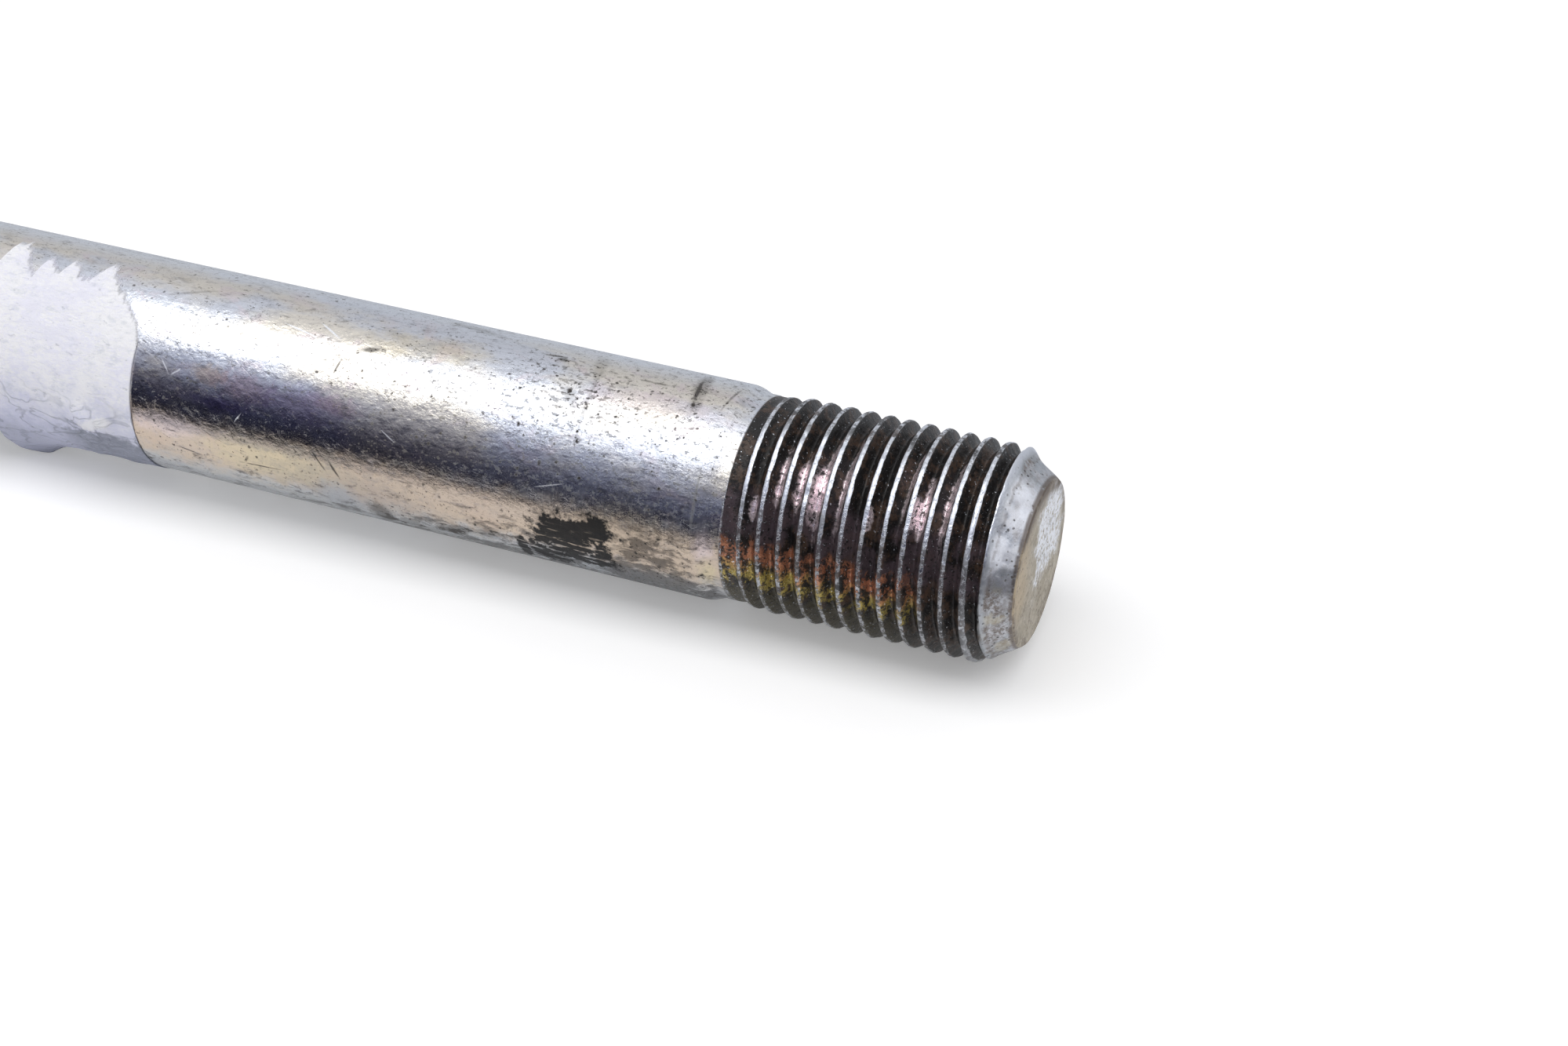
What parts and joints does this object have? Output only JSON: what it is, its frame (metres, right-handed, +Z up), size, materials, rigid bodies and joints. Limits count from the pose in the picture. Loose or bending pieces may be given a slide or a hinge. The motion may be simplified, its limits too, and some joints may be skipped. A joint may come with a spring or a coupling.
{
  "type": "swingarm pivot bolt",
  "caption": "Long hexagon-head pivot bolt with a plain shank, a short fine thread at the far end and the remains of a torn paper label.",
  "frame": {"origin": "centre of the head's bearing face, on the bolt's axis", "axes": "+X along the bolt's axis and out of the threaded end, +Z up with one flat of the hexagon facing down, +Y completes a right-handed frame"},
  "size_m": [0.275, 0.0254, 0.022],
  "materials": {
    "zinc_plated_steel": "worn zinc plate with traces of yellow passivation",
    "label_paper": "matt, fibrous, torn"
  },
  "bodies": {
    "root": {"pivot_bolt": "zinc_plated_steel", "torn_paper_label": "label_paper"}
  },
  "joints": []
}
